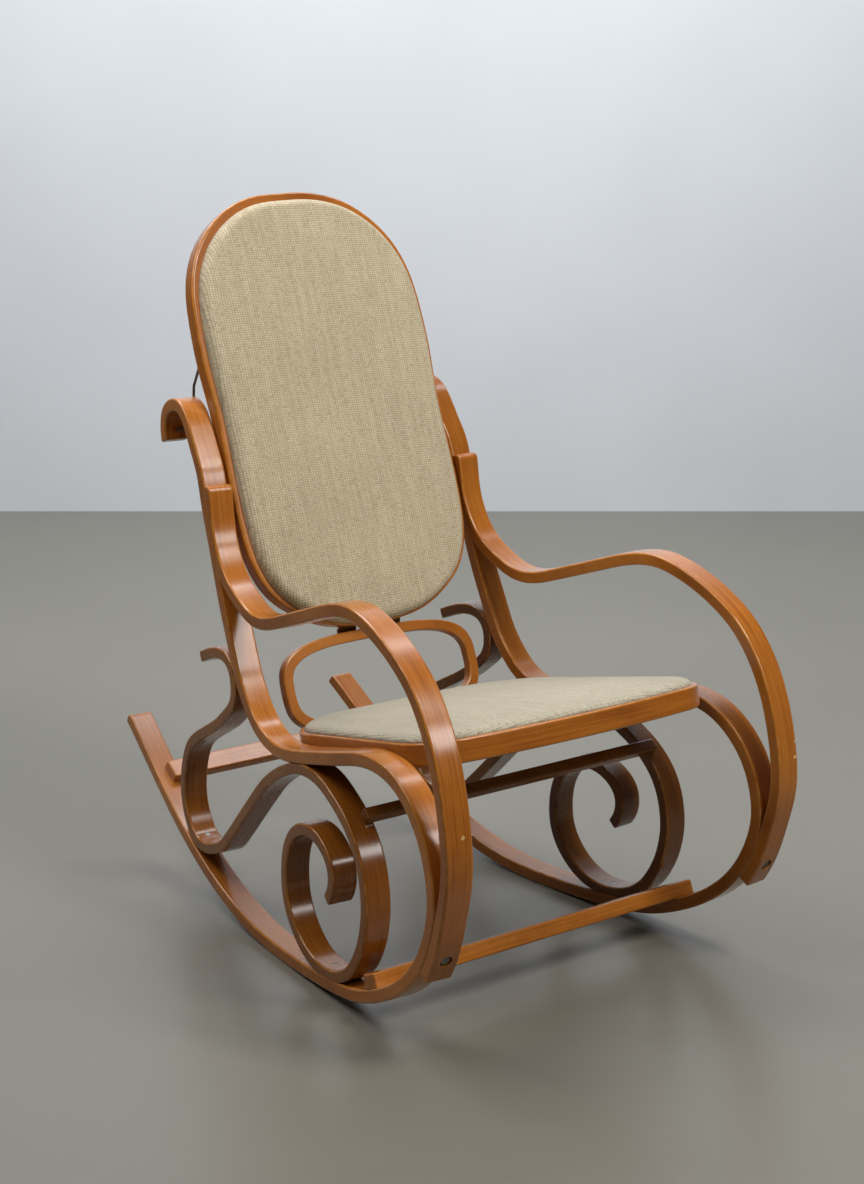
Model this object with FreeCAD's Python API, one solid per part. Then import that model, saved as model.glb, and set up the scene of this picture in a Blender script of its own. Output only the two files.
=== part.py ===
# Bentwood rocking chair with a fabric-covered seat and a hinged, fabric-covered back.
# Millimetres, +Z up.  The sitter faces -Y; +X is the sitter's left.  The origin lies on the floor,
# on the middle plane of the chair, half way between its foremost and rearmost points.
import FreeCAD, Part
import math
import os

V = FreeCAD.Vector

# ---- driving dimensions -------------------------------------------------------------------
BAND = 38.0                 # width of every bent strip, across the chair
RAIL_T = 19.0               # thickness of the side rail strip
ARM_T = 18.0                # thickness of the arm strip
SCROLL_T = 17.0             # thickness of the scroll strip
EDGE_R = 3.0                # rounding along the strip edges
GLUE = 0.15                 # glue line where one strip or stretcher lies on another
SIDE_HALF = 236.0           # middle plane of a side frame from the middle of the chair, at y = 0
TOE = 5.07                  # degrees each side frame turns in toward the rear

SEAT_SLOPE = 12.5           # degrees the seat falls to the rear
SEAT_ORIGIN_Z = 320.5       # height of the seat frame top at y = 0
SEAT_FRONT = -407.0         # middle of the front edge, measured along the seat
SEAT_CORNER = -379.0        # where the front edge meets the sides
SEAT_REAR = 51.0
SEAT_FRAME_T = 31.0
SEAT_FRONT_R = 70.0         # front corners, in plan
SEAT_REAR_R = 132.0
SEAT_RIM = 26.0             # width of the seat frame seen from above
SEAT_GAP = 0.6              # seat frame to side frame
BOARD_T = 8.0
SEAT_PAD_T = 11.0
PAD_INSET = 7.0             # bare wood left around the seat pad

BACK_TILT = 21.0            # degrees the back leans from upright
BACK_Y = 203.0              # middle of the back's front face
BACK_Z = 739.0
BACK_FRAME_T = 24.0
BACK_RIM = 26.0
BACK_PAD_T = 19.0

RING_DROP = 409.0           # ring centre below the back's centre, along the back
RING_HALF_W = 172.0
RING_HALF_H = 73.0
RING_POWER = 3.3
RING_T = 16.0
RING_DEPTH = 17.0
RING_FRONT = -14.0          # front face of the ring behind the back's front face

HINGE_X = 40.0              # middle of each hinge
HINGE_W = 30.0
BARREL_R = 3.5
PIN_R = 1.5
RUN = 0.05                  # radial running clearance on the hinge pins
WIRE_R = 2.0                # back stay wire

# Right half of the back's outline as (x, up the back), from the middle of the top to the middle of the bottom.
BACK = [(0, 329.5), (55, 326.5), (98, 313.5), (137, 288.5), (170, 252), (192, 203), (200.5, 135), (201, 75),
        (197, 10), (197, -45), (198.4, -110), (197, -170), (190, -221), (167, -269), (132, -299), (91, -320),
        (45, -330), (0, -332.5)]
BACK_PAD_WIDE = 0.937       # pad of the back against its frame, across
BACK_PAD_TALL = 0.971       # and up the back
BACK_PAD_DROP = 3.3         # pad's middle below the frame's

# Centre lines of the three strips of a side frame, as (y, z) in the plane of the frame.
RAIL = [(310, 692), (313, 712), (306, 735), (287, 748), (266, 751), (245, 742), (226, 720), (208, 692),
        (193, 668), (179, 626), (160, 575), (139, 518), (118, 466), (98, 423), (77, 381), (52, 350),
        (26, 328), (-5, 315), (-42, 310), (-93, 317), (-161, 334), (-217, 349), (-270, 363), (-314, 367),
        (-362, 358), (-400, 335), (-430, 300), (-446, 262), (-451, 222), (-442, 181), (-423, 142),
        (-394, 107), (-359, 79), (-321, 57), (-280, 39), (-240, 27), (-197, 20), (-150, 15),
        (-100, 11.7), (-60, 10.1), (-19, 9.5), (30, 11.2), (80, 17), (140, 30.5), (190, 46), (240, 66.5),
        (302, 98), (391, 155), (488, 220)]
ARM = [(168, 648), (164, 624), (160, 597), (150, 566), (134, 539), (110, 515), (78, 497), (48, 485),
       (22, 481), (-8, 484), (-55, 498), (-112, 517), (-171, 537), (-218, 549), (-255, 551), (-287, 545),
       (-320, 534), (-351, 520), (-380, 503), (-407, 481), (-428, 456), (-445, 429), (-461, 393),
       (-473, 353), (-480, 318), (-483, 288), (-480, 252), (-471, 216), (-458, 173), (-440, 135), (-433, 124)]
SCROLL = [(203, 388), (170, 401), (138, 407), (112, 401), (99, 386), (95, 368), (97, 350), (105, 336),
          (122, 321), (147, 302), (176, 285), (208, 268), (234, 253), (254, 236), (266, 217), (274, 196),
          (279, 172), (279, 149), (273, 128), (262, 110), (245, 95), (224, 88), (200, 90), (175, 98),
          (153, 108), (130, 127), (98, 158), (66, 190), (36, 219), (7, 246), (-22, 267), (-60, 288),
          (-95, 301), (-135, 305), (-169, 299), (-197, 287), (-222, 273), (-246, 254), (-264, 232),
          (-275, 209), (-281, 185), (-283, 160), (-280, 135), (-272, 108), (-259, 83), (-243, 62),
          (-222, 46), (-197, 35.5), (-170, 31), (-142, 32.5), (-115, 41), (-90, 57), (-70, 79), (-58, 105),
          (-55, 132), (-58, 160), (-68, 185), (-85, 205), (-106, 217), (-130, 221), (-154, 217),
          (-175, 206), (-189, 190), (-193, 172), (-189, 154), (-179, 139)]


# ---- small helpers ------------------------------------------------------------------------
def turned(shape, axis, degrees):
    out = shape.copy()
    out.rotate(V(0, 0, 0), axis, degrees)
    return out


def moved(shape, x, y, z):
    out = shape.copy()
    out.translate(V(x, y, z))
    return out


def mirrored(shape):
    return shape.mirror(V(0, 0, 0), V(1, 0, 0))


def bent(points):
    curve = Part.BSplineCurve()
    curve.interpolate(Points=[V(0, y, z) for y, z in points])
    return curve


def band_face(points, thickness):
    """Outline, in the plane x = 0, of a band of even thickness along a bent centre line."""
    centre = bent(points)
    sides = []
    for half in (thickness / 2.0, -thickness / 2.0):
        offset = []
        for y, z in points:
            t = centre.parameter(V(0, y, z))
            along = centre.tangent(t)[0]
            offset.append((y - along.z * half, z + along.y * half))
        sides.append(bent(offset))
    near, far = sides
    start = Part.makeLine(far.StartPoint, near.StartPoint)
    end = Part.makeLine(near.EndPoint, far.EndPoint)
    return Part.Face(Part.Wire(Part.__sortEdges__([near.toShape(), end, far.toShape(), start])))


def prism(face, width=BAND):
    return moved(face.extrude(V(width, 0, 0)), -width / 2.0, 0, 0)


def corner_edge(body, point, pick):
    """Of the edges running straight across the strip at one of its ends, the foremost or the highest."""
    start = V(0, *point)
    near = []
    for e in body.Edges:
        box = e.BoundBox
        if box.YLength < 0.01 and box.ZLength < 0.01 and (box.Center - start).Length < 12.0:
            near.append(e)
    return max(near, key=pick)


def strip(points, thickness, width=BAND, edge=EDGE_R, rounded=()):
    """A flat band bent in the plane x = 0, with rounded long edges and eased ends.

    rounded holds (end point, pick, radius) for each end corner that is rounded more than the rest.
    """
    body = prism(band_face(points, thickness), width)
    for point, pick, radius in rounded:
        body = body.makeFillet(radius, [corner_edge(body, point, pick)])
    return body.makeFillet(edge, body.Edges)


def side(shape, left):
    """Carry a shape drawn in the plane x = 0 to the left (+X) or the right (-X) side frame."""
    out = moved(turned(shape, V(0, 0, 1), TOE), SIDE_HALF, 0, 0)
    return out if left else mirrored(out)


def side_half(y):
    return SIDE_HALF - y * math.tan(math.radians(TOE))


def on_seat(shape):
    """Seat coordinates: y along the seat, z = 0 on the top of the seat frame."""
    return moved(turned(shape, V(1, 0, 0), -SEAT_SLOPE), 0, 0, SEAT_ORIGIN_Z)


def on_back(shape):
    """Back coordinates: y up the back, z = 0 on the front face of the back frame."""
    return moved(turned(shape, V(1, 0, 0), 90 - BACK_TILT), 0, BACK_Y, BACK_Z)


def back_point(x, up, out):
    t = math.radians(BACK_TILT)
    return V(x, BACK_Y + up * math.sin(t) - out * math.cos(t), BACK_Z + up * math.cos(t) + out * math.sin(t))


def oval(half_w, half_h, power, y=0.0, steps=40):
    """Closed squarish oval in the XY plane."""
    points = []
    for i in range(steps):
        t = 2 * math.pi * (i + 0.5) / steps
        c = math.cos(t)
        s = math.sin(t)
        px = math.copysign(abs(c) ** (2 / power), c) * half_w
        py = math.copysign(abs(s) ** (2 / power), s) * half_h
        points.append(V(px, py + y, 0))
    curve = Part.BSplineCurve()
    curve.interpolate(Points=points, PeriodicFlag=True)
    return Part.Wire(curve.toShape())


def slab(wire, low, high):
    return moved(Part.Face(wire).extrude(V(0, 0, high - low)), 0, 0, low)


def upright_edges(shape, y):
    """Edges that run straight up at a given depth."""
    found = []
    for e in shape.Edges:
        box = e.BoundBox
        if box.XLength < 0.01 and box.YLength < 0.01 and abs(box.YMin - y) < 0.02:
            found.append(e)
    return found


def seat_outline(inset, low, high):
    """Seat-shaped slab: bowed front, straight tapering sides, round rear corners."""
    corner = SEAT_CORNER + inset
    front = SEAT_FRONT + inset
    rear = SEAT_REAR - inset
    near = side_half(corner) - BAND / 2 - SEAT_GAP - inset
    far = side_half(rear) - BAND / 2 - SEAT_GAP - inset
    a = V(-near, corner, low)
    b = V(near, corner, low)
    c = V(far, rear, low)
    d = V(-far, rear, low)
    outline = Part.Wire([Part.Arc(a, V(0, front, low), b).toShape(), Part.makeLine(b, c),
                         Part.makeLine(c, d), Part.makeLine(d, a)])
    body = Part.Face(outline).extrude(V(0, 0, high - low))
    body = body.makeFillet(SEAT_FRONT_R - inset, upright_edges(body, corner))
    return body.makeFillet(SEAT_REAR_R - inset, upright_edges(body, rear))


def flat_edges(shape, level):
    found = []
    for e in shape.Edges:
        box = e.BoundBox
        if abs(box.ZMin - level) < 0.01 and abs(box.ZMax - level) < 0.01:
            found.append(e)
    return found


def eased(shape, levels, radius):
    edges = []
    for level in levels:
        edges += flat_edges(shape, level)
    return shape.makeFillet(radius, edges)


def bar(length, breadth, depth, radius):
    """A straight bar along X, centred, with rounded long edges and eased ends."""
    block = Part.makeBox(length, breadth, depth, V(-length / 2, -breadth / 2, -depth / 2))
    return block.makeFillet(radius, block.Edges)


def rounded_path(points, radius):
    """A wire through points with every corner rounded."""
    edges = []
    last = points[0]
    for i in range(1, len(points) - 1):
        p = points[i]
        a = (points[i - 1] - p).normalize()
        b = (points[i + 1] - p).normalize()
        half = a.getAngle(b) / 2
        reach = radius / math.tan(half)
        first = p + a * reach
        second = p + b * reach
        middle = p + (a + b).normalize() * (radius / math.sin(half) - radius)
        edges.append(Part.makeLine(last, first))
        edges.append(Part.Arc(first, middle, second).toShape())
        last = second
    edges.append(Part.makeLine(last, points[-1]))
    return Part.Wire(edges)


def wire(points, radius, bend):
    path = rounded_path(points, bend)
    direction = points[1] - points[0]
    section = Part.Wire(Part.makeCircle(radius, points[0], direction))
    return path.makePipeShell([section], True, False)


def screw(head_r, shank_r, length, sink, round_head=False):
    """Screw pointing along -Z with its head face at z = -sink."""
    if round_head:
        head = Part.makeCylinder(head_r, head_r * 0.55, V(0, 0, -sink - head_r * 0.55))
        head = head.makeFillet(head_r * 0.35, flat_edges(head, -sink))
        base = sink + head_r * 0.55
    else:
        base = sink + head_r - shank_r
        head = Part.makeCone(shank_r, head_r, head_r - shank_r, V(0, 0, -base))
    shank = Part.makeCylinder(shank_r, length - 0.5, V(0, 0, -base - length + 0.5))
    tip = Part.makeCone(shank_r * 0.5, shank_r, 0.5, V(0, 0, -base - length))
    return head.fuse([shank, tip]).removeSplitter()


def aimed(shape, start, direction):
    """Move a shape drawn along -Z so that it starts at a point and runs along a direction."""
    out = shape.copy()
    spin = FreeCAD.Rotation(V(0, 0, -1), direction)
    out.Placement = FreeCAD.Placement(start, spin).multiply(out.Placement)
    return out


def spot(points, thickness, y, z, facing):
    """Point on a face of a band near (y, z), and the direction into the band."""
    curve = bent(points)
    t = curve.parameter(V(0, y, z))
    along = curve.tangent(t)[0]
    out = V(0, -along.z, along.y) * facing
    return curve.value(t) + out * (thickness / 2.0), out * -1.0


def counterbore(head_r, sink, start, direction):
    return aimed(Part.makeCylinder(head_r, sink + 4.0, V(0, 0, -sink)), start, direction)


def drilled(shape, tools):
    for tool in tools:
        shape = shape.cut(tool)
    return shape


# ---- side frames, drawn in the plane x = 0 --------------------------------------------------
rail = strip(RAIL, RAIL_T, rounded=[(RAIL[-1], lambda e: e.BoundBox.ZMin, 9.0)])
rail_room = prism(band_face(RAIL, RAIL_T + 2 * GLUE), BAND + 2)
arm = strip(ARM, ARM_T, rounded=[(ARM[0], lambda e: -e.BoundBox.YMin, 9.0)]).cut(rail_room)
scroll = strip(SCROLL, SCROLL_T).cut(rail_room)

start, into = spot(ARM, ARM_T, -450, 156, -1)
foot_bolt = aimed(screw(7.5, 3.0, 26.0, 1.5, True), start, into)
arm = drilled(arm, [counterbore(8.6, 5.625, start, into), foot_bolt])
rail = drilled(rail, [foot_bolt])

top_screws = []
for y, z in ((180, 630), (165, 588)):
    start, into = spot(RAIL, RAIL_T, y, z, 1)
    fixing = aimed(screw(4.0, 2.0, 21.0, 0.5), start, into)
    top_screws.append(fixing)
    rail = drilled(rail, [counterbore(4.0, 0.5, start, into), fixing])
    arm = drilled(arm, [fixing])

scroll_screws = []
for y, z, facing, length in ((99, 385, 1, 26.0), (-106, 304, 1, 26.0), (-170, 31, 1, 25.0), (236, 91, -1, 26.0)):
    start, into = spot(SCROLL, SCROLL_T, y, z, facing)
    fixing = aimed(screw(4.0, 2.0, length, 0.5), start, into)
    scroll_screws.append(fixing)
    scroll = drilled(scroll, [counterbore(4.0, 0.5, start, into), fixing])
    rail = drilled(rail, [fixing])

# ---- stretchers ------------------------------------------------------------------------------
# name, band carrying it, its thickness, (y, z) on the band, side it lies on, breadth, depth, how far
# each end stops short of the band's outer face
STRETCHERS = [("front_stretcher", RAIL, RAIL_T, -303, 49, 1, 28.0, 22.0, 1.0),
              ("middle_stretcher", SCROLL, SCROLL_T, -236, 263, -1, 18.0, 15.0, 23.0),
              ("rear_stretcher", RAIL, RAIL_T, 376, 145, 1, 34.0, 16.0, 19.0)]
parts = {}
stretcher_screws = []
for name, band, thick, y, z, facing, breadth, depth, short in STRETCHERS:
    start, into = spot(band, thick, y, z, facing)
    length = 2 * (side_half(start.y) + BAND / 2 - short)
    lean = math.degrees(math.atan2(-into.y, -into.z))
    body = bar(length, breadth, depth, 3.0)
    body = turned(body, V(1, 0, 0), -lean)
    centre = start - into * (depth / 2 - 0.8)
    body = moved(body, 0, centre.y, centre.z)
    seat_of = side(prism(band_face(band, thick + 2 * GLUE), BAND + 2), True)
    body = body.cut(seat_of).cut(mirrored(seat_of))
    start, into = spot(band, thick, y, z, -facing)
    fixing = aimed(screw(4.0, 2.0, thick + 9.0, 0.5), start, into)
    inset = moved(fixing, (BAND / 2 - short) / 2 if short < BAND / 2 else (BAND / 2 - short) - 6.0, 0, 0)
    recess = moved(counterbore(4.0, 0.5, start, into), inset.BoundBox.Center.x, 0, 0)
    if band is RAIL:
        rail = drilled(rail, [recess, inset])
    else:
        scroll = drilled(scroll, [recess, inset])
    placed = [side(inset, True), side(inset, False)]
    stretcher_screws += placed
    parts[name] = drilled(body, placed)

# ---- seat ------------------------------------------------------------------------------------
rim = eased(seat_outline(0, -SEAT_FRAME_T, 0), (-SEAT_FRAME_T, 0), 3.0)
opening = seat_outline(SEAT_RIM, -SEAT_FRAME_T - 1, 1)
rebate = seat_outline(12.0, -BOARD_T, 1)
seat_frame = on_seat(rim.cut(opening).cut(rebate))
parts["seat_board"] = on_seat(seat_outline(12.3, -BOARD_T, 0))
parts["seat_pad"] = on_seat(eased(seat_outline(PAD_INSET, 0, SEAT_PAD_T), (SEAT_PAD_T,), 8.0))

seat_screws = []
side_plane = V(math.cos(math.radians(TOE)), math.sin(math.radians(TOE)), 0)
for y in (-310, -180, -60):
    z = SEAT_ORIGIN_Z - math.sin(math.radians(SEAT_SLOPE)) * y - 19.0
    inner = side_half(y) - BAND / 2 - SEAT_GAP - SEAT_RIM + 0.3
    fixing = aimed(screw(4.5, 2.2, 34.0, 0.6), V(inner, y, z), side_plane)
    for tool in (fixing, mirrored(fixing)):
        seat_frame = seat_frame.cut(tool)
        seat_screws.append(tool)
    recess = counterbore(4.5, 0.6, V(inner, y, z), side_plane)
    seat_frame = seat_frame.cut(recess).cut(mirrored(recess))

# ---- back --------------------------------------------------------------------------------------
def closed_curve(points):
    curve = Part.BSplineCurve()
    curve.interpolate(Points=[V(x, up, 0) for x, up in points], PeriodicFlag=True)
    return curve


def back_oval(inset, low, high):
    """Back-shaped slab, moved in from its outline by an even inset."""
    outline = closed_curve(around)
    inner = []
    for x, up in around:
        along = outline.tangent(outline.parameter(V(x, up, 0)))[0]
        inner.append((x + along.y * inset, up - along.x * inset))
    return slab(Part.Wire(closed_curve(inner).toShape()), low, high)


around = BACK[:-1] + [(-x, up) for x, up in reversed(BACK[1:])]
pad_around = [(x * BACK_PAD_WIDE, up * BACK_PAD_TALL - BACK_PAD_DROP) for x, up in around]
back_cushion = slab(Part.Wire(closed_curve(pad_around).toShape()), 0, BACK_PAD_T)
hoop = eased(back_oval(0, -BACK_FRAME_T, 0), (-BACK_FRAME_T, 0), 4.0)
back_frame = on_back(hoop.cut(back_oval(BACK_RIM, -BACK_FRAME_T - 1, 1)).cut(back_oval(16.0, -BOARD_T, 1)))
parts["back_board"] = on_back(back_oval(16.3, -BOARD_T, 0))
parts["back_pad"] = on_back(eased(back_cushion, (BACK_PAD_T,), 7.0))

ring_back = RING_FRONT - RING_DEPTH
ring = slab(oval(RING_HALF_W, RING_HALF_H, RING_POWER, -RING_DROP), ring_back, RING_FRONT)
hollow = slab(oval(RING_HALF_W - RING_T, RING_HALF_H - RING_T, RING_POWER, -RING_DROP), ring_back, RING_FRONT)
ring = on_back(eased(ring.cut(hollow), (ring_back, RING_FRONT), 3.0)).cut(seat_frame)

ring_screws = []
for x in (-60.0, 60.0):
    start = back_point(x, -RING_DROP - RING_HALF_H + RING_T / 2, ring_back)
    into = back_point(x, -RING_DROP - RING_HALF_H + RING_T / 2, RING_FRONT) - start
    fixing = aimed(screw(4.5, 2.2, 30.0, 0.6), start, into)
    ring = drilled(ring, [counterbore(4.5, 0.6, start, into), fixing])
    seat_frame = drilled(seat_frame, [fixing])
    ring_screws.append(fixing)

# ---- hinges between the ring and the back ---------------------------------------------------------
ring_top = -RING_DROP + RING_HALF_H
axis_up = ring_top + 4.0
axis_out = -BACK_FRAME_T - 4.3


def barrel(x0, x1, radius):
    return Part.makeCylinder(radius, x1 - x0, V(x0, axis_up, axis_out), V(1, 0, 0))


hinge_pins = []
ring_leaves = []
back_leaves = []
hinge_screws = []
third = HINGE_W / 3.0
for x in (-HINGE_X, HINGE_X):
    a = x - HINGE_W / 2
    b = x + HINGE_W / 2
    pin = barrel(a - 1.0, b + 1.0, PIN_R)
    middle = barrel(a + third, b - third, BARREL_R)
    low_plate = Part.makeBox(HINGE_W, 18.0, 1.6, V(a, axis_up - 18.0, ring_back - 1.6))
    ring_leaf = low_plate.fuse(middle)
    for outer in (barrel(a - 1, a + third + 0.4, BARREL_R + 0.6), barrel(b - third - 0.4, b + 1, BARREL_R + 0.6)):
        ring_leaf = ring_leaf.cut(outer)
    ring_leaf = ring_leaf.cut(pin)
    high_plate = Part.makeBox(HINGE_W, 27.0, 1.5, V(a, axis_up, -BACK_FRAME_T - 1.5))
    back_leaf = high_plate.fuse([barrel(a, a + third, BARREL_R), barrel(b - third, b, BARREL_R)])
    back_leaf = back_leaf.cut(barrel(a + third - 0.4, b - third + 0.4, BARREL_R + 0.6))
    back_leaf = back_leaf.cut(barrel(a - 2, b + 2, PIN_R + RUN))
    ring_leaf = on_back(ring_leaf)
    back_leaf = on_back(back_leaf)
    for dx in (-8.0, 8.0):
        start = back_point(x + dx, ring_top - 8.0, ring_back - 1.6)
        into = back_point(x + dx, ring_top - 8.0, 0) - start
        down = aimed(screw(2.6, 1.3, 10.0, 0.0), start, into)
        start = back_point(x + dx, axis_up + 18.0, -BACK_FRAME_T - 1.5)
        into = back_point(x + dx, axis_up + 18.0, 0) - start
        ahead = aimed(screw(2.6, 1.3, 10.0, 0.0), start, into)
        hinge_screws += [("ring", down), ("back", ahead)]
        ring_leaf = ring_leaf.cut(down)
        back_leaf = back_leaf.cut(ahead)
    hinge_pins.append(on_back(pin))
    ring_leaves.append(ring_leaf)
    back_leaves.append(back_leaf)
ring = drilled(ring, ring_leaves)
ring = drilled(ring, [tool for where, tool in hinge_screws if where == "ring"])
back_frame = drilled(back_frame, [tool for where, tool in hinge_screws if where == "back"])

# ---- wire stay on the rear of the back, its feet lying inside the curled rail tops ------------------
STAY_X = 184.0              # where the wire runs up the back frame
STAY_LOW = 100.0            # where it leaves the back, measured up the back
STAY_HIGH = 152.0           # where it crosses behind the back
FOOT = (297.5, 709.0)       # y and z of the feet, inside the curls
ELBOW = (293.0, 772.0)      # y and z of the bend above them
skin = -BACK_FRAME_T - WIRE_R
half_path = [V(213, FOOT[0], FOOT[1]), V(184, FOOT[0], FOOT[1]), V(184, ELBOW[0], ELBOW[1]),
             back_point(STAY_X, STAY_LOW, skin), back_point(STAY_X, STAY_HIGH, skin)]
other = [V(-p.x, p.y, p.z) for p in reversed(half_path)]
back_stay = wire(half_path + other, WIRE_R, 9.0)

stay_clips = []
clip_screws = []
for x in (-STAY_X, STAY_X):
    for up in (116.0, 136.0):
        saddle = Part.makeCylinder(WIRE_R + 1.2, 7.0, V(x, up - 3.5, skin), V(0, 1, 0))
        saddle = saddle.fuse(Part.makeBox(18.0, 7.0, 1.2, V(x - 9.0, up - 3.5, -BACK_FRAME_T - 1.2)))
        saddle = saddle.cut(Part.makeCylinder(WIRE_R, 9.0, V(x, up - 4.5, skin), V(0, 1, 0)))
        saddle = saddle.cut(Part.makeBox(2 * WIRE_R, 9.0, WIRE_R + 0.1, V(x - WIRE_R, up - 4.5, skin)))
        saddle = saddle.common(Part.makeBox(30.0, 30.0, 20.0, V(x - 15, up - 15, -BACK_FRAME_T - 20.0)))
        saddle = on_back(saddle)
        for dx in (-6.2, 6.2):
            start = back_point(x + dx, up, -BACK_FRAME_T - 1.2)
            into = back_point(x + dx, up, 0) - start
            fixing = aimed(screw(2.0, 1.0, 9.0, 0.0), start, into)
            saddle = saddle.cut(fixing)
            back_frame = back_frame.cut(fixing)
            clip_screws.append(fixing)
        stay_clips.append(saddle)

# ---- the two side frames take their places -----------------------------------------------------------
for name, shape in (("side_rail", rail), ("arm", arm), ("scroll", scroll)):
    parts["left_" + name] = side(shape, True)
    parts["right_" + name] = side(shape, False)
for tool in seat_screws:
    for name in ("left_side_rail", "right_side_rail"):
        if parts[name].BoundBox.intersect(tool.BoundBox):
            parts[name] = parts[name].cut(tool)

parts["seat_frame"] = seat_frame
parts["back_frame"] = back_frame
parts["lower_ring"] = ring
parts["back_stay"] = back_stay
groups = {"arm_foot_bolts": [side(foot_bolt, True), side(foot_bolt, False)],
          "arm_top_screws": [side(s, left) for s in top_screws for left in (True, False)],
          "scroll_screws": [side(s, left) for s in scroll_screws for left in (True, False)],
          "stretcher_screws": stretcher_screws,
          "seat_screws": seat_screws,
          "ring_screws": ring_screws,
          "ring_hinge_leaves": ring_leaves,
          "back_hinge_leaves": back_leaves,
          "hinge_pins": hinge_pins,
          "ring_hinge_screws": [tool for where, tool in hinge_screws if where == "ring"],
          "back_hinge_screws": [tool for where, tool in hinge_screws if where == "back"],
          "stay_clips": stay_clips,
          "clip_screws": clip_screws}
for name, solids in groups.items():
    parts[name] = Part.makeCompound(solids)

os.makedirs("parts", exist_ok=True)
for name, shape in parts.items():
    shape.exportStep("parts/" + name + ".step")
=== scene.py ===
import math

import bpy
from mathutils import Matrix, Vector
from mathutils.bvhtree import BVHTree


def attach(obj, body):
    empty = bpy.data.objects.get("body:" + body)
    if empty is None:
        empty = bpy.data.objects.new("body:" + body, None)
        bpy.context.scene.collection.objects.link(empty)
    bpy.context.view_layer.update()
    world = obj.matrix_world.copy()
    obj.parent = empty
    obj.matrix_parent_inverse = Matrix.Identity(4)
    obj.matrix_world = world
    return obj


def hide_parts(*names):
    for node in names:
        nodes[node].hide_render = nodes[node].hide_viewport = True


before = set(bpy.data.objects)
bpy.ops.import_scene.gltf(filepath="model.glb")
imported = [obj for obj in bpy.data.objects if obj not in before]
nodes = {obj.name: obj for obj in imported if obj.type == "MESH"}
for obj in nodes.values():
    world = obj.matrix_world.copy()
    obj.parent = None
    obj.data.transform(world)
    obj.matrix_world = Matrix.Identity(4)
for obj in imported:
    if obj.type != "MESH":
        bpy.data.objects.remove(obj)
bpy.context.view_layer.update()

# Looks of the bentwood rocking chair: lacquered bent strips, tweed pads, dark steel fittings.
# Everything is in metres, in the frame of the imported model.

TOE = math.radians(5.07)          # each side frame turns in this much toward the rear
SEAT_SLOPE = math.radians(12.5)
BACK_TURN = math.radians(69.0)    # turns the back's face flat onto the XY plane


# ---- node network helper --------------------------------------------------------------------
class Net:
    """A material and short ways to add and join its nodes."""

    def __init__(self, name):
        self.mat = bpy.data.materials.new(name)
        self.mat.use_nodes = True
        self.tree = self.mat.node_tree
        self.bsdf = self.tree.nodes["Principled BSDF"]

    def put(self, socket, value):
        if isinstance(value, bpy.types.NodeSocket):
            self.tree.links.new(value, socket)
        else:
            socket.default_value = value

    def node(self, kind, inputs=None, **settings):
        n = self.tree.nodes.new("ShaderNode" + kind)
        for key, value in settings.items():
            setattr(n, key, value)
        for key, value in (inputs or {}).items():
            self.put(n.inputs[key], value)
        return n

    def math(self, operation, a, b=0.0, c=0.0, clamp=False):
        n = self.node("Math", {0: a, 1: b, 2: c}, operation=operation, use_clamp=clamp)
        return n.outputs[0]

    def turned(self, axis=(0, 0, 1), angle=0.0):
        """Object coordinates turned into a piece's own frame."""
        place = self.node("TexCoord").outputs["Object"]
        return self.rotated(place, axis, angle)

    def rotated(self, vector, axis, angle):
        n = self.node("VectorRotate", {"Vector": vector, "Axis": axis, "Angle": angle},
                      rotation_type="AXIS_ANGLE")
        return n.outputs[0]

    def stretched(self, place, scale):
        return self.node("VectorMath", {0: place, 1: scale}, operation="MULTIPLY").outputs[0]

    def noise(self, place, scale=1.0, detail=2.0, roughness=0.5):
        n = self.node("TexNoise", {"Vector": place, "Scale": scale, "Detail": detail, "Roughness": roughness})
        return n.outputs[0]

    def ramp(self, factor, *stops):
        n = self.node("ValToRGB", {0: factor})
        band = n.color_ramp
        while len(band.elements) < len(stops):
            band.elements.new(0.5)
        for element, (position, colour) in zip(band.elements, stops):
            element.position = position
            level = (colour, colour, colour) if isinstance(colour, (int, float)) else colour
            element.color = (*level, 1.0)
        return n.outputs[0]

    def mix(self, factor, a, b, blend="MIX"):
        n = self.node("Mix", data_type="RGBA", blend_type=blend)
        self.put(n.inputs[0], factor)
        for socket, value in ((n.inputs[6], a), (n.inputs[7], b)):
            self.put(socket, value if isinstance(value, bpy.types.NodeSocket) else (*value, 1.0))
        return n.outputs[2]

    def bump(self, height, strength, distance, normal=None):
        n = self.node("Bump", {"Height": height, "Strength": strength, "Distance": distance})
        if normal is not None:
            self.put(n.inputs["Normal"], normal)
        return n.outputs[0]

    def set(self, **values):
        for key, value in values.items():
            self.put(self.bsdf.inputs[key.replace("_", " ")], value)


# ---- lacquered bentwood -----------------------------------------------------------------------
STAIN_DEEP = (0.245, 0.072, 0.008)
STAIN_MIDDLE = (0.366, 0.121, 0.014)
STAIN_PALE = (0.455, 0.168, 0.024)
PORE = (0.14, 0.034, 0.005)
# Paler edge colour: partly worn lacquer, partly a painted highlight.
EDGE_WEAR_AND_HIGHLIGHT = (0.66, 0.300, 0.062)
BARE_WOOD = (0.70, 0.42, 0.17)


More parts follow.
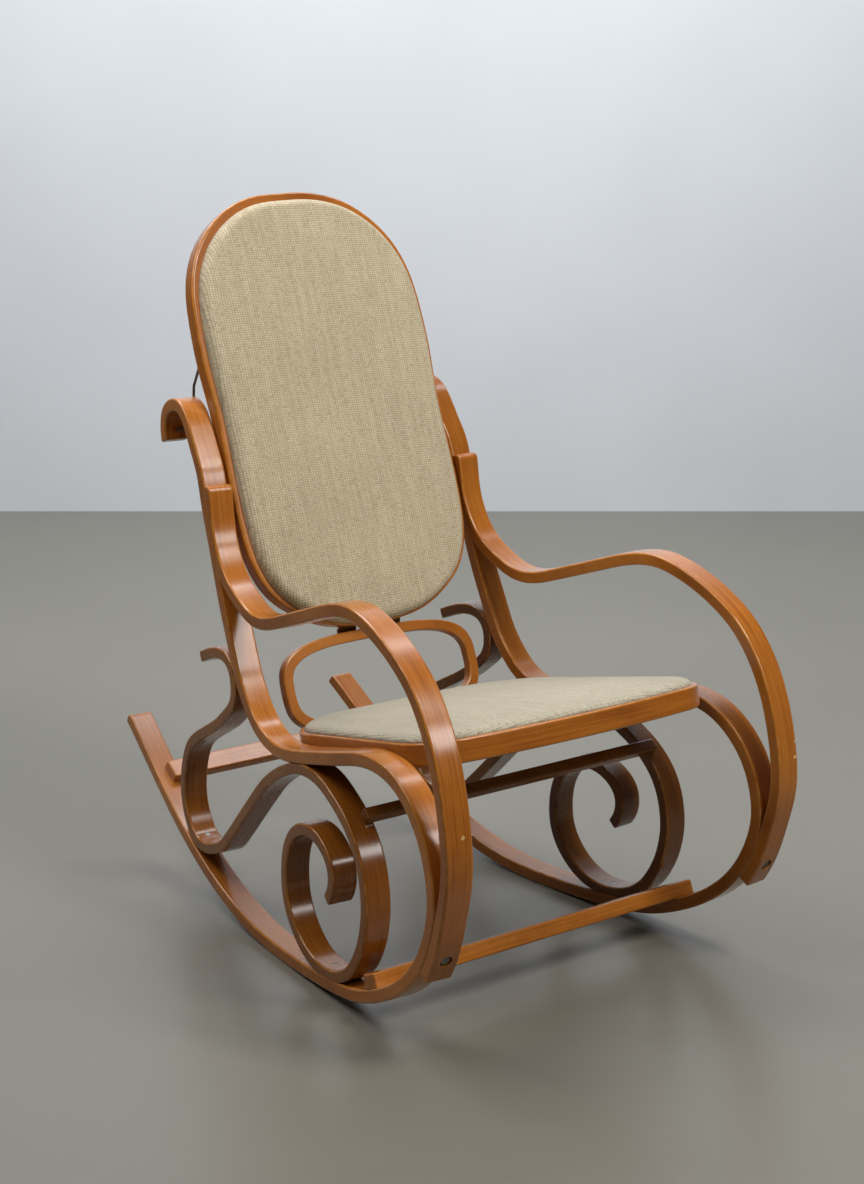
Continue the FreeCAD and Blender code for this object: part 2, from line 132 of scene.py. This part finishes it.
def lacquered(name, axis, angle, across, seed, marks=(), painted_shade=1.0):
    """Honey-brown stained beech. across is the piece's own axis that the grain streaks are fine along.

    marks holds (place, size) of each chip, and a last argument under 1 darkens the piece's colour as painted
    shade.
    """
    net = Net(name)
    place = net.turned(axis, angle)
    place = net.node("VectorMath", {0: place, 1: (seed, seed * 0.7, seed * 1.3)}, operation="ADD").outputs[0]
    fine = [7.0, 7.0, 7.0]
    fleck = [150.0, 150.0, 150.0]
    for i in across:
        fine[i] = 330.0
        fleck[i] = 1500.0
    streak = net.noise(net.stretched(place, tuple(fine)), detail=4.0, roughness=0.6)
    flecks = net.noise(net.stretched(place, tuple(fleck)), detail=1.0)
    cloud = net.noise(place, scale=7.0, detail=3.0)
    blotch = net.noise(place, scale=38.0, detail=3.0, roughness=0.6)
    tone = net.math("MULTIPLY_ADD", streak, 0.58, net.math("MULTIPLY", cloud, 0.32))
    tone = net.math("MULTIPLY_ADD", blotch, 0.10, tone)
    stain = net.ramp(tone, (0.34, STAIN_DEEP), (0.50, STAIN_MIDDLE), (0.66, STAIN_PALE))
    dark = net.ramp(flecks, (0.64, 0.0), (0.74, 1.0))
    stain = net.mix(net.math("MULTIPLY", dark, 0.18), stain, PORE)
    # Painted shade: the colour is multiplied down for pieces that sit in shade under the seat.
    stain = net.mix(1.0, stain, (painted_shade, painted_shade * 0.96, painted_shade * 0.92), "MULTIPLY")

    # The colour is paler along the rounded edges of a strip: partly lacquer worn thin, partly a painted
    # highlight of those edges.
    normal = net.node("TexCoord").outputs["Normal"]
    parts = net.node("SeparateXYZ", {0: net.rotated(normal, axis, angle)})
    facing = net.math("ABSOLUTE", parts.outputs[across[0]])
    edge = net.ramp(facing, (0.25, 0.0), (0.55, 1.0), (0.90, 1.0), (0.985, 0.0))
    worn = net.ramp(net.noise(place, scale=55.0, detail=3.0), (0.42, 0.25), (0.62, 1.0))
    edge = net.math("MULTIPLY", net.math("MULTIPLY", edge, worn), 0.40 if len(across) == 1 else 0.12)
    stain = net.mix(edge, stain, EDGE_WEAR_AND_HIGHLIGHT)

    rubbed = net.noise(place, scale=24.0, detail=4.0, roughness=0.65)
    gloss = net.node("MapRange", {0: rubbed, 1: 0.3, 2: 0.7, 3: 0.17, 4: 0.30}).outputs[0]
    for spot, size in marks:
        object_place = net.node("TexCoord").outputs["Object"]
        away = net.node("VectorMath", {0: object_place, 1: spot}, operation="DISTANCE").outputs["Value"]
        ragged = net.math("MULTIPLY_ADD", net.noise(place, scale=420.0, detail=2.0), size * 1.6, away)
        chip = net.node("MapRange", {0: ragged, 1: size * 1.55, 2: size * 1.75, 3: 1.0, 4: 0.0}).outputs[0]
        stain = net.mix(chip, stain, BARE_WOOD)
        gloss = net.math("MULTIPLY_ADD", chip, 0.4, gloss)

    orange_peel = net.noise(place, scale=300.0, detail=1.0)
    relief = net.bump(streak, 0.035, 0.0006)
    relief = net.bump(orange_peel, 0.05, 0.0004, relief)
    net.set(Base_Color=stain, Roughness=gloss, Normal=relief, Coat_Weight=0.75, Coat_Roughness=0.20,
            Specular_IOR_Level=0.14)
    return net.mat


def plywood(name, axis, angle):
    net = Net(name)
    place = net.turned(axis, angle)
    rings = net.noise(net.stretched(place, (60.0, 3.0, 60.0)), detail=5.0, roughness=0.65)
    colour = net.ramp(rings, (0.30, (0.30, 0.175, 0.075)), (0.55, (0.46, 0.30, 0.145)),
                      (0.75, (0.56, 0.40, 0.22)))
    net.set(Base_Color=colour, Roughness=0.62, Normal=net.bump(rings, 0.15, 0.0004))
    return net.mat


# ---- tweed ------------------------------------------------------------------------------------
YARN_PITCH = (0.0040, 0.0034)     # width of a yarn across and along the piece


def tweed(name, axis, angle, pitch_x, pitch_y, tint):
    """Nubby two-tone basket weave with its yarns along the piece's own X and Y."""
    net = Net(name)
    place = net.turned(axis, angle)
    drift = net.node("TexNoise", {"Vector": place, "Scale": 22.0, "Detail": 2.0}).outputs["Color"]
    drift = net.node("VectorMath", {0: drift, 1: (0.5, 0.5, 0.5)}, operation="SUBTRACT").outputs[0]
    wander = {0: drift, 1: (0.0035, 0.0035, 0.0), 2: place}
    place = net.node("VectorMath", wander, operation="MULTIPLY_ADD").outputs[0]
    grid = net.stretched(place, (1.0 / pitch_x, 1.0 / pitch_y, 0.0))
    cell = net.node("VectorMath", {0: grid}, operation="FLOOR").outputs[0]
    within = net.node("SeparateXYZ", {0: net.node("VectorMath", {0: grid}, operation="FRACTION").outputs[0]})
    where = net.node("SeparateXYZ", {0: cell})
    row = net.math("ADD", where.outputs[0], where.outputs[1])
    warp_over = net.math("ABSOLUTE", net.math("MODULO", row, 2.0))
    hump_x = net.math("SINE", net.math("MULTIPLY", within.outputs[0], math.pi))
    hump_y = net.math("SINE", net.math("MULTIPLY", within.outputs[1], math.pi))
    warp = net.math("MULTIPLY", net.math("POWER", hump_x, 0.55), net.math("MULTIPLY_ADD", hump_y, 0.45, 0.55))
    weft = net.math("MULTIPLY", net.math("POWER", hump_y, 0.55), net.math("MULTIPLY_ADD", hump_x, 0.45, 0.55))
    over = net.node("Mix", {0: warp_over, 2: net.math("MULTIPLY", weft, 0.78), 3: warp}).outputs[0]
    fuzz = net.noise(place, scale=1500.0, detail=2.0)
    height = net.math("MULTIPLY_ADD", fuzz, 0.30, over)

    lot = net.node("TexWhiteNoise", {0: cell}, noise_dimensions="3D").outputs[0]
    yarn = net.ramp(lot, (0.0, (0.330, 0.250, 0.145)), (0.14, (0.540, 0.445, 0.290)),
                    (0.55, (0.620, 0.525, 0.355)), (0.85, (0.720, 0.635, 0.465)),
                    (1.0, (0.640, 0.500, 0.340)))
    ribs = net.noise(net.stretched(place, (150.0, 9.0, 0.0)), detail=2.0)
    yarn = net.mix(0.62, yarn, (0.610, 0.520, 0.355))
    yarn = net.mix(net.ramp(ribs, (0.34, 0.36), (0.62, 0.0)), yarn, (0.42, 0.33, 0.205))
    shade = net.ramp(height, (0.25, 0.50), (0.85, 1.0))
    yarn = net.mix(1.0, yarn, shade, "MULTIPLY")
    worn = tuple(c * 0.94 for c in tint)
    patch = net.ramp(net.noise(place, scale=9.0, detail=2.0), (0.35, worn), (0.65, tint))
    yarn = net.mix(1.0, yarn, patch, "MULTIPLY")
    relief = net.bump(height, 0.75, 0.0010)
    net.set(Base_Color=yarn, Roughness=0.92, Normal=relief, Sheen_Weight=0.25, Sheen_Roughness=0.5,
            Specular_IOR_Level=0.25)
    return net.mat


def steel(name, colour, low, high):
    net = Net(name)
    place = net.turned()
    tarnish = net.noise(place, scale=260.0, detail=3.0)
    tint = net.ramp(tarnish, (0.35, tuple(c * 0.6 for c in colour)), (0.7, colour))
    rough = net.node("MapRange", {0: tarnish, 1: 0.3, 2: 0.7, 3: low, 4: high}).outputs[0]
    net.set(Base_Color=tint, Metallic=1.0, Roughness=rough, Normal=net.bump(tarnish, 0.12, 0.0003))
    return net.mat


def dress(name, material):
    mesh = nodes[name].data
    mesh.materials.clear()
    mesh.materials.append(material)


X_AXIS = (1, 0, 0)
Z_AXIS = (0, 0, 1)
CHIPS = {"right_arm": [((-0.2739, -0.4869, 0.3224), 0.0030)],
         "left_arm": [((0.2925, -0.4865, 0.3141), 0.0030), ((0.2940, -0.4840, 0.3360), 0.0020)]}
# Painted shade: how far the colour of the scrolls, the far side rail and the middle stretcher is darkened,
# standing in for the shade under the seat and arms.
PAINTED_SHADE = {"left_scroll": 0.42, "right_scroll": 0.64, "left_side_rail": 0.90, "middle_stretcher": 0.52}
for seed, (side, turn) in enumerate((("left", -TOE), ("right", TOE))):
    for step, strip in enumerate(("side_rail", "arm", "scroll")):
        name = side + "_" + strip
        dress(name, lacquered("lacquer_" + name, Z_AXIS, turn, (0,), 1.7 * seed + 0.45 * step + 0.2,
                              CHIPS.get(name, ()), PAINTED_SHADE.get(name, 1.0)))
dress("seat_frame", lacquered("lacquer_seat_frame", X_AXIS, SEAT_SLOPE, (2,), 3.9))
dress("back_frame", lacquered("lacquer_back_frame", X_AXIS, -BACK_TURN, (2,), 4.6))
dress("lower_ring", lacquered("lacquer_lower_ring", X_AXIS, -BACK_TURN, (2,), 5.2))
for seed, name in enumerate(("front_stretcher", "middle_stretcher", "rear_stretcher")):
    dress(name, lacquered("lacquer_" + name, X_AXIS, 0.0, (1, 2), 6.1 + 0.8 * seed, (),
                          PAINTED_SHADE.get(name, 1.0)))
dress("seat_board", plywood("plywood_seat", X_AXIS, SEAT_SLOPE))
dress("back_board", plywood("plywood_back", X_AXIS, -BACK_TURN))

dark_steel = steel("dark_steel", (0.20, 0.19, 0.18), 0.28, 0.46)
zinc = steel("zinc", (0.42, 0.40, 0.36), 0.30, 0.50)
bronze = steel("bronze", (0.30, 0.13, 0.045), 0.45, 0.60)
for name in ("back_stay", "stay_clips", "arm_foot_bolts"):
    dress(name, dark_steel)
for name in ("ring_hinge_leaves", "back_hinge_leaves", "hinge_pins"):
    dress(name, bronze)
for name in ("clip_screws", "ring_hinge_screws", "back_hinge_screws", "arm_top_screws", "scroll_screws",
             "stretcher_screws", "seat_screws", "ring_screws"):
    dress(name, zinc)


# ---- pads ---------------------------------------------------------------------------------------
RING_POINTS = 288         # points in each ring of a pad
OUTLINE_EASING = 6        # how often the outline's corners are eased
SHOULDER_RINGS = 7        # rings that turn up the rounded shoulder
CROWN_RINGS = 40          # steps from the shoulder to the middle
CROWN_EASING = 14         # how often the crown's heights are evened out
CLOTH_RINGS = 6           # the simulated part of the crown fades in over these rings
SUNK = 0.0008             # a pad's edge lies this deep in its frame
FLAT_WITHIN = 0.0003      # corners this close to the lowest one belong to the underside
HELD = 0.004              # height over the underside below which the cloth stays put
VOXEL = 0.005
CAST_FROM = 0.2           # heights are measured by rays that start this far above a pad
CLOTH = {"quality": 5, "mass": 0.3, "tension_stiffness": 15.0, "compression_stiffness": 15.0,
         "bending_stiffness": 0.5, "use_pressure": True, "uniform_pressure_force": 4.0,
         "vertex_group_mass": "held"}
CLOTH_FRAMES = 20


def evaluated_mesh(obj):
    bpy.context.view_layer.update()
    ready = obj.evaluated_get(bpy.context.evaluated_depsgraph_get())
    return bpy.data.meshes.new_from_object(ready)


def evenly_spaced(ring):
    """Points at even distances along a closed line, with its corners eased."""
    steps = [(ring[(i + 1) % len(ring)] - ring[i]).length for i in range(len(ring))]
    total = sum(steps)
    points = []
    i = 0
    passed = 0.0
    for k in range(RING_POINTS):
        wanted = total * k / RING_POINTS
        while passed + steps[i] < wanted:
            passed += steps[i]
            i += 1
        points.append(ring[i].lerp(ring[(i + 1) % len(ring)], (wanted - passed) / steps[i]))
    for _ in range(OUTLINE_EASING):
        points = [points[k] * 0.5 + (points[k - 1] + points[(k + 1) % RING_POINTS]) * 0.25
                  for k in range(RING_POINTS)]
    return points


def outline_of(mesh, wide, drop):
    """The edge of a flat pad's underside, its middle, and the height of that side.

    wide scales the edge sideways, and drop moves its low end further down.
    """
    low = min(v.co.z for v in mesh.vertices)
    rim = [v.co for v in mesh.vertices if v.co.z < low + FLAT_WITHIN]
    middle = Vector(((min(c.x for c in rim) + max(c.x for c in rim)) / 2,
                     (min(c.y for c in rim) + max(c.y for c in rim)) / 2))
    outermost = {}
    for c in rim:
        turn = round(math.atan2(c.y - middle.y, c.x - middle.x), 4)
        reach = math.hypot(c.x - middle.x, c.y - middle.y)
        if reach > outermost.get(turn, (0.0, None))[0]:
            outermost[turn] = (reach, c)
    ring = [outermost[turn][1].to_2d() for turn in sorted(outermost)]
    half = max(abs(p.y - middle.y) for p in ring)
    ring = [Vector((middle.x + (p.x - middle.x) * wide, p.y - drop * max(middle.y - p.y, 0.0) / half))
            for p in ring]
    return evenly_spaced(ring), middle, low


def swollen(flat, name):
    """The surface of a flat pad after cloth simulation swells it with its underside held."""
    low = min(v.co.z for v in flat.vertices)
    form = bpy.data.objects.new(name + "_form", flat)
    bpy.context.scene.collection.objects.link(form)
    remesh = form.modifiers.new("remesh", "REMESH")
    remesh.mode = "VOXEL"
    remesh.voxel_size = VOXEL
    even = evaluated_mesh(form)
    form.modifiers.clear()
    form.data = even
    held = form.vertex_groups.new(name="held")
    held.add([v.index for v in even.vertices if v.co.z < low + HELD], 1.0, "REPLACE")
    cloth = form.modifiers.new("cloth", "CLOTH")
    for key, value in CLOTH.items():
        setattr(cloth.settings, key, value)
    cloth.settings.effector_weights.gravity = 0.0
    cloth.point_cache.frame_start = 1
    cloth.point_cache.frame_end = CLOTH_FRAMES
    for step in range(1, CLOTH_FRAMES + 1):
        bpy.context.scene.frame_set(step)
    result = evaluated_mesh(form)
    bpy.context.scene.frame_set(1)
    bpy.data.objects.remove(form)
    return BVHTree.FromPolygons([v.co for v in result.vertices], [tuple(p.vertices) for p in result.polygons])


def crown_rise(step, place, crown, puffed, high):
    """Height over the shoulder at one place: a plain dome, averaged with the cloth where it ran."""
    dome = crown * (1 - (1 - step / CROWN_RINGS) ** 2)
    if puffed is None:
        return dome
    hit = puffed.ray_cast(Vector((place.x, place.y, high + CAST_FROM)), Vector((0, 0, -1)))[0]
    rise = max(hit.z - high, 0.0) if hit is not None else 0.0
    return 0.5 * dome + 0.5 * crown * (1 - math.exp(-rise / crown)) * min(1.0, step / CLOTH_RINGS)


def eased(rises):
    """Heights evened out with their neighbours along and across the rings."""
    result = []
    for i, row in enumerate(rises):
        before = rises[i - 1] if i else [0.0] * RING_POINTS
        after = rises[i + 1] if i + 1 < len(rises) else row
        result.append([row[k] * 0.4 + (row[k - 1] + row[(k + 1) % RING_POINTS] + before[k] + after[k]) * 0.15
                       for k in range(RING_POINTS)])
    return result


def closed_form(name, rings, tip):
    """A mesh over rings that run inward, closed by a flat underside and a fan around the tip."""
    corners = [corner for ring in rings for corner in ring] + [tip]
    faces = [tuple(range(RING_POINTS - 1, -1, -1))]
    for level in range(len(rings) - 1):
        a = level * RING_POINTS
        for k in range(RING_POINTS):
            b = (k + 1) % RING_POINTS
            faces.append((a + k, a + b, a + RING_POINTS + b, a + RING_POINTS + k))
    last = (len(rings) - 1) * RING_POINTS
    faces += [(last + k, last + (k + 1) % RING_POINTS, len(corners) - 1) for k in range(RING_POINTS)]
    mesh = bpy.data.meshes.new(name)
    mesh.from_pydata(corners, [], faces)
    return mesh


def stuffed(node, name, angle, thick, crown, shoulder, wide=1.0, drop=0.0):
    """Rebuilds a CAD pad as clean rings.

    thick is the height of its shoulder, shoulder the width of that curve, and crown what the
    middle rises above it. wide and drop change the outline.
    """
    into = Matrix.Rotation(angle, 4, "X")
    flat = nodes[node].data.copy()
    flat.transform(into)
    flat.materials.clear()
    points, middle, low = outline_of(flat, wide, drop)
    high = max(v.co.z for v in flat.vertices)
    puffed = swollen(flat, name)
    base = low - SUNK
    top = base + thick

    inward = []
    for k in range(RING_POINTS):
        along = points[(k + 1) % RING_POINTS] - points[k - 1]
        inward.append(Vector((-along.y, along.x)).normalized())
    rings = [[(p.x, p.y, base) for p in points]]
    for step in range(1, SHOULDER_RINGS + 1):
        turn = math.pi / 2 * step / SHOULDER_RINGS
        inset = shoulder * (1 - math.cos(turn))
        inner = [p + n * inset for p, n in zip(points, inward)]
        rings.append([(p.x, p.y, base + thick * math.sin(turn)) for p in inner])

    levels = [[p.lerp(middle, step / CROWN_RINGS) for p in inner] for step in range(1, CROWN_RINGS)]
    rises = [[crown_rise(step, p, crown, puffed, high) for p in ring] for step, ring in enumerate(levels, 1)]
    for _ in range(CROWN_EASING):
        rises = eased(rises)
    for ring, row in zip(levels, rises):
        rings.append([(p.x, p.y, top + rise) for p, rise in zip(ring, row)])

    mesh = closed_form(name, rings, (middle.x, middle.y, top + sum(rises[-1]) / RING_POINTS))
    mesh.transform(into.inverted())
    for face in mesh.polygons:
        face.use_smooth = face.index > 0
    pad = bpy.data.objects.new(name, mesh)
    bpy.context.scene.collection.objects.link(pad)
    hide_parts(node)
    return pad


seat_pad = stuffed("seat_pad", "seat_fabric", SEAT_SLOPE, thick=0.0105, crown=0.008, shoulder=0.018)
# The seat's tweed is tinted darker and less yellow than the back's. The lower brightness is painted shade
# that offsets the stronger light on the seat's top, and the cooler hue is its own colour.
seat_pad.data.materials.append(tweed("tweed_seat", X_AXIS, SEAT_SLOPE, *YARN_PITCH, (0.80, 0.86, 0.95)))
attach(seat_pad, "chair")
back_pad = stuffed("back_pad", "back_fabric", -BACK_TURN, thick=0.0185, crown=0.005, shoulder=0.014,
                   wide=1.018, drop=0.0035)
back_pad.data.materials.append(tweed("tweed_back", X_AXIS, -BACK_TURN, *YARN_PITCH, (1.0, 1.0, 1.0)))
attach(back_pad, "back")


# ---- floor, wall and light ----------------------------------------------------------------------
def plain(name, colour, roughness):
    net = Net(name)
    haze = net.noise(net.turned(), scale=1.6, detail=4.0)
    tint = net.ramp(haze, (0.3, tuple(c * 0.93 for c in colour)), (0.7, colour))
    net.set(Base_Color=tint, Roughness=roughness)
    return net.mat


def sheet_of(name, corners, material):
    mesh = bpy.data.meshes.new(name)
    mesh.from_pydata(corners, [], [(0, 1, 2, 3)])
    mesh.materials.append(material)
    obj = bpy.data.objects.new(name, mesh)
    bpy.context.scene.collection.objects.link(obj)
    return obj


def soft_box(name, place, target, width, height, watts, colour=(1.0, 1.0, 1.0)):
    lamp = bpy.data.lights.new(name, "AREA")
    lamp.shape = "RECTANGLE"
    lamp.size = width
    lamp.size_y = height
    lamp.energy = watts
    lamp.color = colour
    obj = bpy.data.objects.new(name, lamp)
    bpy.context.scene.collection.objects.link(obj)
    obj.location = place
    obj.rotation_euler = (Vector(target) - Vector(place)).to_track_quat("-Z", "Y").to_euler()
    return obj


WALL_AWAY = 5.9           # from the camera, along the floor
ROOM_WIDTH = 18.0
FLOOR_DEPTH = 12.0
WALL_HEIGHT = 6.0
FOCAL_MM = 86.136         # on a film 36 mm wide
camera_place = Vector((-1.6891, -2.3581, 1.2006))
right = Vector((0.80706159, -0.59046729, 0.0))
up = Vector((0.14022004, 0.19165535, 0.97139413))
ahead = Vector((0.57357644, 0.78397489, 0.0)).normalized()

skirting = camera_place + ahead * WALL_AWAY
skirting.z = 0.0
side = right * (ROOM_WIDTH / 2)
height = Vector((0, 0, WALL_HEIGHT))
near = ahead * -FLOOR_DEPTH
sheet_of("floor", [skirting - side + near, skirting + side + near, skirting + side, skirting - side],
         plain("floor_paint", (0.178, 0.167, 0.139), 0.32))
sheet_of("wall", [skirting - side, skirting + side, skirting + side + height, skirting - side + height],
         plain("wall_paint", (0.66, 0.69, 0.73), 0.9))

middle = (0.0, 0.0, 0.5)
soft_box("key", (-1.5, 0.3, 2.9), middle, 1.6, 1.2, 36.0, (1.0, 0.98, 0.95))
soft_box("top", (-0.3, 1.5, 3.0), middle, 1.6, 1.1, 30.0)
soft_box("front", (0.4, -1.7, 2.7), middle, 0.7, 0.9, 54.0, (1.0, 0.97, 0.91))
soft_box("glint", (1.0, -2.45, 2.0), middle, 0.45, 0.55, 12.0, (1.0, 0.98, 0.95))
soft_box("wall_wash", tuple(skirting - ahead * 1.6 + Vector((0, 0, 3.4))),
         tuple(skirting + Vector((0, 0, 1.3))), 4.5, 0.8, 112.0, (0.93, 0.96, 1.0))
world = bpy.data.worlds.new("studio")
world.use_nodes = True
world.node_tree.nodes["Background"].inputs[0].default_value = (0.86, 0.87, 0.90, 1.0)
world.node_tree.nodes["Background"].inputs[1].default_value = 0.08
bpy.context.scene.world = world
bpy.context.scene.view_settings.view_transform = "Standard"

# ---- camera -------------------------------------------------------------------------------------
lens = bpy.data.cameras.new("camera")
lens.sensor_fit = "HORIZONTAL"
lens.sensor_width = 36.0
lens.lens = FOCAL_MM
lens.clip_end = 50.0
camera = bpy.data.objects.new("camera", lens)
bpy.context.scene.collection.objects.link(camera)
back = right.cross(up)
camera.matrix_world = Matrix(((right.x, up.x, back.x, camera_place.x),
                              (right.y, up.y, back.y, camera_place.y),
                              (right.z, up.z, back.z, camera_place.z),
                              (0, 0, 0, 1)))
bpy.context.scene.camera = camera

bpy.context.view_layer.update()
